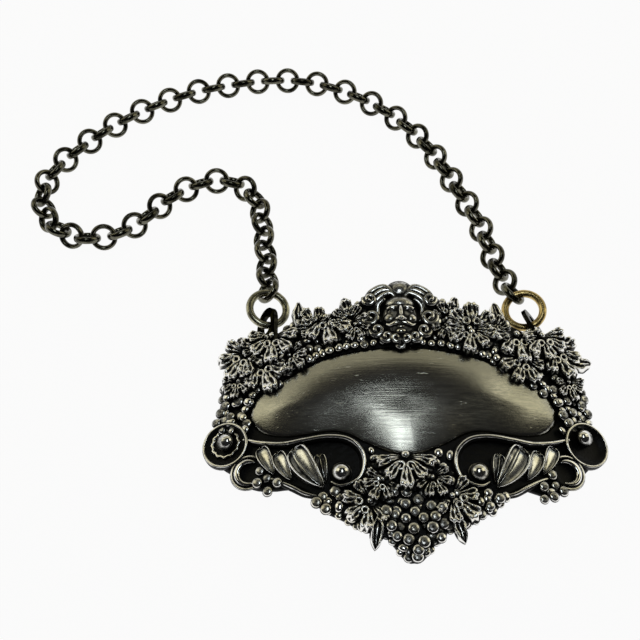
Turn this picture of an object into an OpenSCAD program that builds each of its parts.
// Silver wine label: a curved, cast label with a vine border, hung on a belcher chain.
// The label lies on its back on a table (z = 0), face up, with the chain looped behind it.
// The origin is on the table under the middle of the label: +X across the label,
// +Y towards the top edge and the chain, +Z out of the face.

/* [Label plate] */
// Width of the plate across the label
label_w = 62; // [58:1:66]
// Height of the plate from top edge to bottom tip
label_h = 44; // [41:1:47]
// Radius of the plate's front, curved to lie on a decanter
plate_r = 80; // [70:1:100]
// Thickness of the plate
plate_t = 1.2; // [0.9:0.1:1.6]

/* [Name plaque] */
// Width of the plaque across the label
plaque_w = 49; // [45:1:51]
// Height of the plaque at its middle
plaque_h = 18; // [16:0.5:19]
// How far the plaque stands on the plate
plaque_t = 0.9; // [0.6:0.1:1.4]

/* [Vine border] */
// Length of a vine leaf's middle lobe from the leaf's centre
leaf_len = 4.2; // [3.6:0.1:4.8]
// Height of a vine leaf over the plate
leaf_t = 1.5; // [1.1:0.1:1.9]
// Diameter of one grape
grape_d = 1.5; // [1.2:0.1:1.7]
// Space left between neighbouring grapes
grape_gap = 0.06; // [0.04:0.01:0.15]
// Diameter of the scrolls' raised rim
rim_d = 1.3; // [1:0.1:1.6]
// Diameter of the volutes at the label's ends
volute_d = 7.4; // [6.6:0.2:7.8]
// Diameter of the lower, smaller volutes
small_volute_d = 5.8; // [5:0.2:6.2]
// Height of a volute's wall over the plate
volute_t = 1.5; // [1.1:0.1:1.9]
// Diameter of the pearls in the volutes and scrolls
pearl_d = 2.4; // [2:0.1:2.8]
// Width of the mask with its curls
mask_w = 11.6; // [10:0.2:13]
// Height of the mask with its curls
mask_h = 10.6; // [9:0.2:12]
// How far the mask stands on the plate
mask_t = 3.6; // [2.8:0.1:4.4]

/* [Lugs and rings] */
// Distance between the holes of the two lugs
lug_span = 44.4; // [42:0.2:47]
// Width of a lug
lug_w = 6; // [5.6:0.1:6.4]
// Thickness of a lug
lug_t = 0.7; // [0.5:0.1:1]
// Diameter of the hole in a lug
lug_hole_d = 3.3; // [3:0.1:3.8]
// Mean diameter of a jump ring
ring_d = 6.2; // [5.8:0.1:6.8]
// Thickness of a jump ring's wire
ring_wire_d = 1.3; // [1:0.1:1.4]

/* [Chain] */
// Inner diameter of a chain link
link_bore_d = 3.1; // [2.9:0.05:3.4]
// Thickness of a link's wire
link_wire_d = 1; // [0.8:0.05:1.1]
// Play between two hooked links
link_slack = 0.13; // [0.1:0.01:0.2]
// Play between an end link and its jump ring
ring_play = 0.1; // [0.06:0.01:0.2]

/* [Hidden] */
// Fineness of true round forms, of the small round forms in hulls, and of curves through points
$fn = 48;
FORM_FN = 6;
CURVE_STEPS = 5;
RIM_STEPS = 3;
ROUTE_STEPS = 12;

// Height of the plate's front over the table at its crown, so that the back's two ends rest there
foot_gap = 0.05;
half_w = label_w / 2;
half_h = label_h / 2;
crown_h = plate_r - sqrt(pow(plate_r - plate_t, 2) - pow(half_w, 2)) + foot_gap;
bed = 0.4;

// A point on a smooth curve from b to c, with a before it and d after it
function curve_point(a, b, c, d, t) =
    0.5 * (2 * b + (c - a) * t + (2 * a - 5 * b + 4 * c - d) * t * t
        + (3 * b - a - 3 * c + d) * t * t * t);
function open_curve(p, steps) = concat(
    [for (i = [0 : len(p) - 2]) for (k = [0 : steps - 1])
        curve_point(p[max(i - 1, 0)], p[i], p[i + 1], p[min(i + 2, len(p) - 1)], k / steps)],
    [p[len(p) - 1]]);
function closed_curve(p, steps) = let (n = len(p))
    [for (i = [0 : n - 1]) for (k = [0 : steps - 1])
        curve_point(p[(i + n - 1) % n], p[i], p[(i + 1) % n], p[(i + 2) % n], k / steps)];
// A closed outline from its right half, drawn from the top of the middle line to its foot
function both_halves(p) = concat(p, [for (i = [len(p) - 2 : -1 : 1]) [-p[i][0], p[i][1]]]);
// Places on the label, given as shares of its half width and half height
function on_label(shares) = [for (s = shares) [s[0] * half_w, s[1] * half_h]];
function mirrored(p) = [for (s = p) [-s[0], s[1]]];

label_half = [[0, 1], [0.18, 0.98], [0.32, 0.88], [0.5, 0.83], [0.7, 0.71], [0.84, 0.57], [0.95, 0.36],
    [0.94, 0.14], [1, -0.04], [0.97, -0.22], [0.88, -0.36], [0.76, -0.48], [0.62, -0.54], [0.42, -0.6],
    [0.3, -0.72], [0.22, -0.84], [0.08, -0.96], [0, -1]];
plaque_half = [[0, 0.64], [0.34, 0.59], [0.68, 0.45], [0.9, 0.27], [1, 0.08], [0.94, -0.12], [0.68, -0.19],
    [0.45, -0.17], [0.35, -0.21], [0.27, -0.31], [0, -0.36]];

// Places of the vine leaves: across, up, turn of the middle lobe, share of the full size
left_leaf_places = [[-0.28, 0.77, 100, 0.9], [-0.45, 0.76, 110, 1], [-0.6, 0.6, 160, 0.9],
    [-0.73, 0.6, 80, 1], [-0.73, 0.38, 150, 1], [-0.87, 0.5, 130, 0.95]];
right_leaf_places = [[0.3, 0.77, 80, 0.95], [0.46, 0.7, 20, 0.95], [0.6, 0.65, 72, 0.95],
    [0.74, 0.56, 50, 0.9], [0.67, 0.41, 20, 1], [0.86, 0.5, 50, 0.95]];
bottom_leaf_places = [[-0.02, -0.4, 90, 1.2], [-0.25, -0.61, 200, 1.05], [0.24, -0.57, -20, 1.05]];
// Pointed leaf tips that reach past the plate: foot across and up, tip across and up
left_tips = [[-0.53, 0.74, -0.57, 0.97], [-0.25, 0.8, -0.31, 0.96]];
right_tips = [[0.47, 0.74, 0.5, 0.95], [0.25, 0.8, 0.29, 0.97], [0.88, 0.5, 1, 0.53]];
bottom_tips = [[-0.16, -0.7, -0.18, -0.9], [0.15, -0.68, 0.24, -0.86]];

// Grapes in each row of a bunch, from its top row down
side_rows = [3, 4, 3, 4, 3, 4, 3];
low_rows = [2, 3];
top_rows = [2, 3, 2];
bottom_rows = [5, 6, 7, 6, 5, 4, 3, 2];
// Bunches of grapes: middle of the top row across and up, then the rows
left_bunches = [[-0.87, 0.36, side_rows], [-0.66, -0.46, low_rows], [-0.36, 0.62, top_rows]];
right_bunches = [[0.87, 0.36, side_rows], [0.66, -0.46, low_rows], [0.37, 0.62, top_rows]];
bottom_bunches = [[0.01, -0.5, bottom_rows]];
grape_step = grape_d + grape_gap;
row_step = grape_step * sin(60) + grape_gap / 6;
function bunch(b) = [for (r = [0 : len(b[2]) - 1]) for (i = [0 : b[2][r] - 1])
    [b[0] * half_w + (i - (b[2][r] - 1) / 2) * grape_step, b[1] * half_h - r * row_step]];

// The scroll's rim on the left: from the volute along the plaque's underside into a closing loop
scroll_rim = [[-0.84, -0.1], [-0.72, -0.19], [-0.55, -0.2], [-0.4, -0.17], [-0.29, -0.19], [-0.23, -0.29],
    [-0.24, -0.42], [-0.31, -0.49], [-0.39, -0.45], [-0.41, -0.37], [-0.37, -0.31]];
lower_rim = [[-0.8, -0.44], [-0.68, -0.5], [-0.55, -0.53], [-0.42, -0.54], [-0.33, -0.5]];
// Acanthus lobes under the rim: foot across and up, top across and up
flutes = [[-0.67, -0.36, -0.72, -0.22], [-0.6, -0.4, -0.635, -0.24], [-0.45, -0.47, -0.55, -0.24],
    [-0.425, -0.45, -0.44, -0.27]];
scroll_pearl = [-0.33, -0.38];
volute_place = [0.915, -0.127];
small_volute_place = [0.79, -0.327];
mask_place = [-0.01, 0.79];

// The lug holes, which the rings swing in about one line along X
lug_y = 0.82 * half_h;
lug_x = lug_span / 2;
lug_z = front_z(lug_x) - plate_t / 2;
lug_twist = 58;
lug_root = 5.6;
// How each ring lies: its turn from +Y, and its tilt on that line
left_ring_turn = 0;
right_ring_turn = 24;
ring_tilt = 12;
left_hole = [-lug_x, lug_y, lug_z];
right_hole = [lug_x, lug_y, lug_z];
function ring_way(turn) = [-sin(turn), cos(turn), 0];

// The links of the chain: pairs, and one end link, so that both end links lean across their rings
pair_count = 33;
link_count = 2 * pair_count + 1;
link_mean_r = (link_bore_d + link_wire_d) / 2;
link_lean = 45;
chain_z = link_mean_r * sin(link_lean) + link_wire_d / 2 + foot_gap;
// The chain's way over the table from ring to ring, chosen along the loop in order: across the label,
// past the top of the left ring, and height as a share of the drop from the lug holes to the table
loop_points = [[-22.5, 2.96, 0.43], [-22.8, 6.76, 0.06], [-23.4, 11.76, 0], [-24.2, 17.76, 0],
    [-25.4, 21.16, 0], [-28.2, 24.06, 0], [-32, 25.06, 0], [-36.5, 23.96, 0], [-41.5, 20.56, 0],
    [-45.5, 16.16, 0], [-49.8, 13.16, 0], [-54.8, 12.16, 0], [-59.4, 13.36, 0], [-63, 16.76, 0],
    [-64.6, 22.26, 0], [-62.8, 27.76, 0], [-58.6, 32.96, 0], [-53, 38.16, 0], [-46.5, 42.56, 0],
    [-39, 46.16, 0], [-31, 48.36, 0], [-22.5, 49.56, 0], [-15, 48.96, 0], [-8, 46.36, 0],
    [-1, 41.96, 0], [4.6, 36.36, 0], [8.8, 29.76, 0], [12, 22.96, 0], [14.8, 16.76, 0],
    [16.6, 10.56, 0], [17.7, 5.76, 0.06], [18.8, 2.16, 0.43]];
left_end_way = [-0.05, 0.98, -0.2];
right_end_way = [0.28, -0.94, 0.2];
hook_in = ring_wire_d / 2 + ring_play;
ring_top = lug_y + ring_d;
route_start = left_hole + ring_d * ring_way(left_ring_turn) - hook_in * left_end_way;
route_end = right_hole + ring_d * ring_way(right_ring_turn) + hook_in * right_end_way;
// The loop spreads from its foot between the rings, more towards its far side
spread_from = 4;
spread_over = 20;
function spread(p, grow) = let (share = grow * min(max((p[1] - spread_from) / spread_over, 0), 1))
    [p[0] * (1 + share), ring_top + p[1] * (1 + share), chain_z + p[2] * (lug_z - chain_z)];
function loop_way(grow) = open_curve(
    concat([route_start], [for (p = loop_points) spread(p, grow)], [route_end]), ROUTE_STEPS);
function run(way) = [for (i = 0, s = 0; i < len(way);
    s = s + (i + 1 < len(way) ? norm(way[i + 1] - way[i]) : 0), i = i + 1) s];
function run_len(way) = let (r = run(way)) r[len(r) - 1];
// It spreads just so far that the links fill it with their play
spread_probe = 0.1;
chain_len = link_count * (link_bore_d - link_slack);
loop_grow = spread_probe * (chain_len - run_len(loop_way(0)))
    / (run_len(loop_way(spread_probe)) - run_len(loop_way(0)));
route = loop_way(loop_grow);
route_run = run(route);
route_len = run_len(route);
function route_axis(axis) = [for (i = [0 : len(route) - 1]) [route_run[i], route[i][axis]]];
route_x = route_axis(0);
route_y = route_axis(1);
route_z = route_axis(2);
function hook(k) = let (s = route_len * k / link_count)
    [lookup(s, route_x), lookup(s, route_y), lookup(s, route_z)];
hooks = [for (k = [0 : link_count]) hook(k)];

function two_digits(k) = str(k < 10 ? "0" : "", k);
pair_names = [for (k = [1 : pair_count]) str("link_pair_", two_digits(k))];

// Height of the plate's front over the table at a place across the label
function front_z(x) = sqrt(pow(plate_r, 2) - pow(x, 2)) - plate_r + crown_h;

// Sets a form on the plate's front, square to it, with its own +Y turned from +X
module on_plate(place, turn = 0) {
    translate([place[0], place[1], front_z(place[0])])
        rotate([0, asin(place[0] / plate_r), 0]) rotate([0, 0, turn]) children();
}

// A long barrel whose side is the plate's front when its radius is plate_r
module barrel(r) {
    translate([0, label_h, crown_h - plate_r]) rotate([90, 0, 0]) cylinder(r = r, h = 2 * label_h);
}

// A curved sheet between two radii, cut to an outline
module curved_sheet(outline, inner_r, outer_r) {
    intersection() {
        translate([0, 0, -label_h]) linear_extrude(2 * label_h) polygon(outline);
        difference() {
            barrel(outer_r);
            barrel(inner_r);
        }
    }
}

// The back plate that carries the border
module label_plate() {
    color("dimgray")
        curved_sheet(closed_curve(on_label(both_halves(label_half)), CURVE_STEPS),
            plate_r - plate_t, plate_r);
}

// The smooth tablet in the middle, left bare
module name_plaque() {
    outline = [for (p = both_halves(plaque_half)) [p[0] * plaque_w / 2, p[1] * plaque_h]];
    color("silver") curved_sheet(closed_curve(outline, CURVE_STEPS), plate_r, plate_r + plaque_t);
}

// One ball of a cast form, given its place over the plate
module ball(at, r) {
    translate(at) sphere(r, $fn = FORM_FN);
}

// A vine leaf with five pointed, ridged lobes, its middle lobe along +X
module vine_leaf(share) {
    len = leaf_len * share;
    for (lobe = [[0, 1], [54, 0.92], [-54, 0.92], [116, 0.76], [-116, 0.76]])
        rotate([0, 0, lobe[0]]) leaf_lobe(len * lobe[1], len * 0.3);
}

// One lobe: a flat pointed outline that rises to a ridge along its middle vein
module leaf_lobe(len, half) {
    hull() {
        translate([0, 0, -bed]) linear_extrude(bed + leaf_t * 0.35)
            polygon([[0, -half * 0.6], [len * 0.5, -half], [len * 0.8, -half * 0.7], [len, 0],
                [len * 0.8, half * 0.7], [len * 0.5, half], [0, half * 0.6]]);
        translate([0, 0, leaf_t * 0.9]) cylinder(d = leaf_t * 0.3, h = leaf_t * 0.1, $fn = FORM_FN);
        translate([len * 0.7, 0, leaf_t * 0.6]) cylinder(d = leaf_t * 0.2, h = leaf_t * 0.1, $fn = FORM_FN);
    }
}

// A pointed tip of a leaf, from its foot on the plate to its point past the edge
module leaf_tip(t) {
    foot = [t[0] * half_w, t[1] * half_h];
    point = [t[2] * half_w, t[3] * half_h];
    hull() {
        on_plate(foot) ball([0, 0, 0.3], leaf_t * 0.62);
        on_plate((foot + point) / 2) ball([0, 0, 0.4], leaf_t * 0.5);
        on_plate(point) ball([0, 0, 0.3], leaf_t * 0.2);
    }
}

module leaves(places, tips) {
    color([0.55, 0.54, 0.5]) {
        for (p = places) on_plate([p[0] * half_w, p[1] * half_h], p[2]) vine_leaf(p[3]);
        for (t = tips) leaf_tip(t);
    }
}

module left_leaves() { leaves(left_leaf_places, left_tips); }
module right_leaves() { leaves(right_leaf_places, right_tips); }
module bottom_leaves() { leaves(bottom_leaf_places, bottom_tips); }

// Grapes: separate round beads bedded in the plate
module grapes(bunches) {
    color([0.45, 0.45, 0.43])
        for (b = bunches) for (p = bunch(b))
            on_plate(p) translate([0, 0, grape_d * 0.3]) sphere(d = grape_d);
}

module left_grapes() { grapes(left_bunches); }
module right_grapes() { grapes(right_bunches); }
module bottom_grapes() { grapes(bottom_bunches); }

// A round bar along a curve on the plate, thinning to its far end
module rim(points, d, end_share) {
    path = open_curve(points, RIM_STEPS);
    n = len(path) - 1;
    for (i = [0 : n - 1]) hull() for (k = [i, i + 1])
        on_plate(path[k]) ball([0, 0, d * 0.25], d / 2 * (1 - (1 - end_share) * k / n));
}

// A comma scroll under the plaque: its rim, the moulding below, the lobes between and a pearl
module scroll(side) {
    color([0.6, 0.6, 0.57]) {
        rim(side < 0 ? on_label(scroll_rim) : mirrored(on_label(scroll_rim)), rim_d, 0.75);
        rim(side < 0 ? on_label(lower_rim) : mirrored(on_label(lower_rim)), rim_d * 0.9, 0.8);
        for (f = flutes) hull() {
            on_plate([-side * f[0] * half_w, f[1] * half_h]) ball([0, 0, 0.2], rim_d * 0.5);
            on_plate([-side * f[2] * half_w, f[3] * half_h]) ball([0, 0, 0.3], rim_d * 0.8);
        }
        on_plate([-side * scroll_pearl[0] * half_w, scroll_pearl[1] * half_h])
            translate([0, 0, pearl_d * 0.25]) sphere(d = pearl_d, $fn = 3 * FORM_FN);
    }
}

module left_scroll() { scroll(-1); }
module right_scroll() { scroll(1); }

// A round cup with a pearl in it
module volute(place, d) {
    wall = d * 0.14;
    hollow_r = d * 0.6;
    on_plate(place) {
        difference() {
            translate([0, 0, -bed]) cylinder(d = d, h = volute_t + bed);
            translate([0, 0, volute_t + sqrt(pow(hollow_r, 2) - pow(d / 2 - wall, 2))]) sphere(hollow_r);
        }
        translate([0, 0, volute_t - pearl_d * 0.3]) sphere(d = pearl_d);
    }
}

module volutes(side) {
    color([0.5, 0.5, 0.48]) {
        volute([side * volute_place[0] * half_w, volute_place[1] * half_h], volute_d);
        volute([side * small_volute_place[0] * half_w, small_volute_place[1] * half_h], small_volute_d);
    }
}

module left_volutes() { volutes(-1); }
module right_volutes() { volutes(1); }

// A head with curled hair, calm and plain, looking out of the label
module mask() {
    face_w = mask_w * 0.36;
    face_h = mask_h * 0.46;
    color("silver") on_plate([mask_place[0] * half_w, mask_place[1] * half_h]) {
        intersection() {
            scale([face_w, face_h, mask_t * 0.86]) sphere(1, $fn = 4 * FORM_FN);
            translate([0, 0, mask_t / 2 - bed]) cube([mask_w, mask_h * 1.2, mask_t], center = true);
        }
        hull() {
            ball([0, face_h * 0.22, mask_t * 0.8], mask_t * 0.1);
            ball([0, -face_h * 0.18, mask_t * 0.84], mask_t * 0.14);
        }
        for (side = [-1, 1]) {
            hull() {
                ball([side * face_w * 0.14, face_h * 0.26, mask_t * 0.78], mask_t * 0.1);
                ball([side * face_w * 0.6, face_h * 0.24, mask_t * 0.6], mask_t * 0.09);
            }
            ball([side * face_w * 0.48, -face_h * 0.12, mask_t * 0.56], mask_t * 0.18);
            hull() {
                ball([0, -face_h * 0.46, mask_t * 0.7], mask_t * 0.08);
                ball([side * face_w * 0.28, -face_h * 0.44, mask_t * 0.62], mask_t * 0.06);
            }
        }
        ball([0, -face_h * 0.72, mask_t * 0.5], mask_t * 0.18);
        for (a = [-40 : 32 : 220]) hull() {
            ball([cos(a) * mask_w * 0.36, sin(a) * mask_h * 0.37, mask_t * 0.2], mask_t * 0.34);
            ball([cos(a + 18) * mask_w * 0.4, sin(a + 18) * mask_h * 0.42, mask_t * 0.12], mask_t * 0.28);
        }
    }
}

// A flat lug with a round end and a hole, twisted so that its inner edge stands up
module lug(hole, turn, twist) {
    color([0.25, 0.25, 0.24]) translate(hole) rotate([0, 0, turn]) rotate([0, twist, 0])
        difference() {
            translate([0, 0, -lug_t / 2]) {
                cylinder(d = lug_w, h = lug_t);
                translate([-lug_w / 2, -lug_root, 0]) cube([lug_w, lug_root, lug_t]);
            }
            translate([0, 0, -lug_t]) cylinder(d = lug_hole_d, h = 2 * lug_t);
        }
}

module left_lug() { lug(left_hole, left_ring_turn, -lug_twist); }
module right_lug() { lug(right_hole, right_ring_turn, lug_twist); }

// A closed ring of round wire, lying flat about the origin
module wire_ring(mean_r, wire_d) {
    rotate_extrude() translate([mean_r, 0]) circle(d = wire_d);
}

// A jump ring through a lug's hole: outer side in front of the lug, inner side behind it
module jump_ring(hole, turn, tilt) {
    color([0.55, 0.49, 0.33]) translate(hole) rotate([0, 0, turn]) rotate([0, tilt, 0])
        translate([0, ring_d / 2, 0]) wire_ring(ring_d / 2, ring_wire_d);
}

module left_ring() { jump_ring(left_hole, left_ring_turn, ring_tilt); }
module right_ring() { jump_ring(right_hole, right_ring_turn, -ring_tilt); }

// One chain link between two hooks, leaning half over, each the other way to its neighbours
module chain_link(k) {
    way = hooks[k] - hooks[k - 1];
    color([0.24, 0.23, 0.18]) translate((hooks[k] + hooks[k - 1]) / 2)
        rotate([0, 0, atan2(way[1], way[0])]) rotate([0, -asin(way[2] / norm(way)), 0])
            rotate([k % 2 == 0 ? link_lean : -link_lean, 0, 0]) wire_ring(link_mean_r, link_wire_d);
}

// Two neighbouring links, hooked into each other
module link_pair(k) {
    chain_link(2 * k - 1);
    chain_link(2 * k);
}

// The last link, which hooks into the right ring
module end_link() {
    chain_link(link_count);
}

label_plate();
name_plaque();
mask();
left_leaves();
right_leaves();
bottom_leaves();
left_grapes();
right_grapes();
bottom_grapes();
left_scroll();
right_scroll();
left_volutes();
right_volutes();
left_lug();
right_lug();
left_ring();
right_ring();
for (k = [1 : pair_count]) link_pair(k);
end_link();
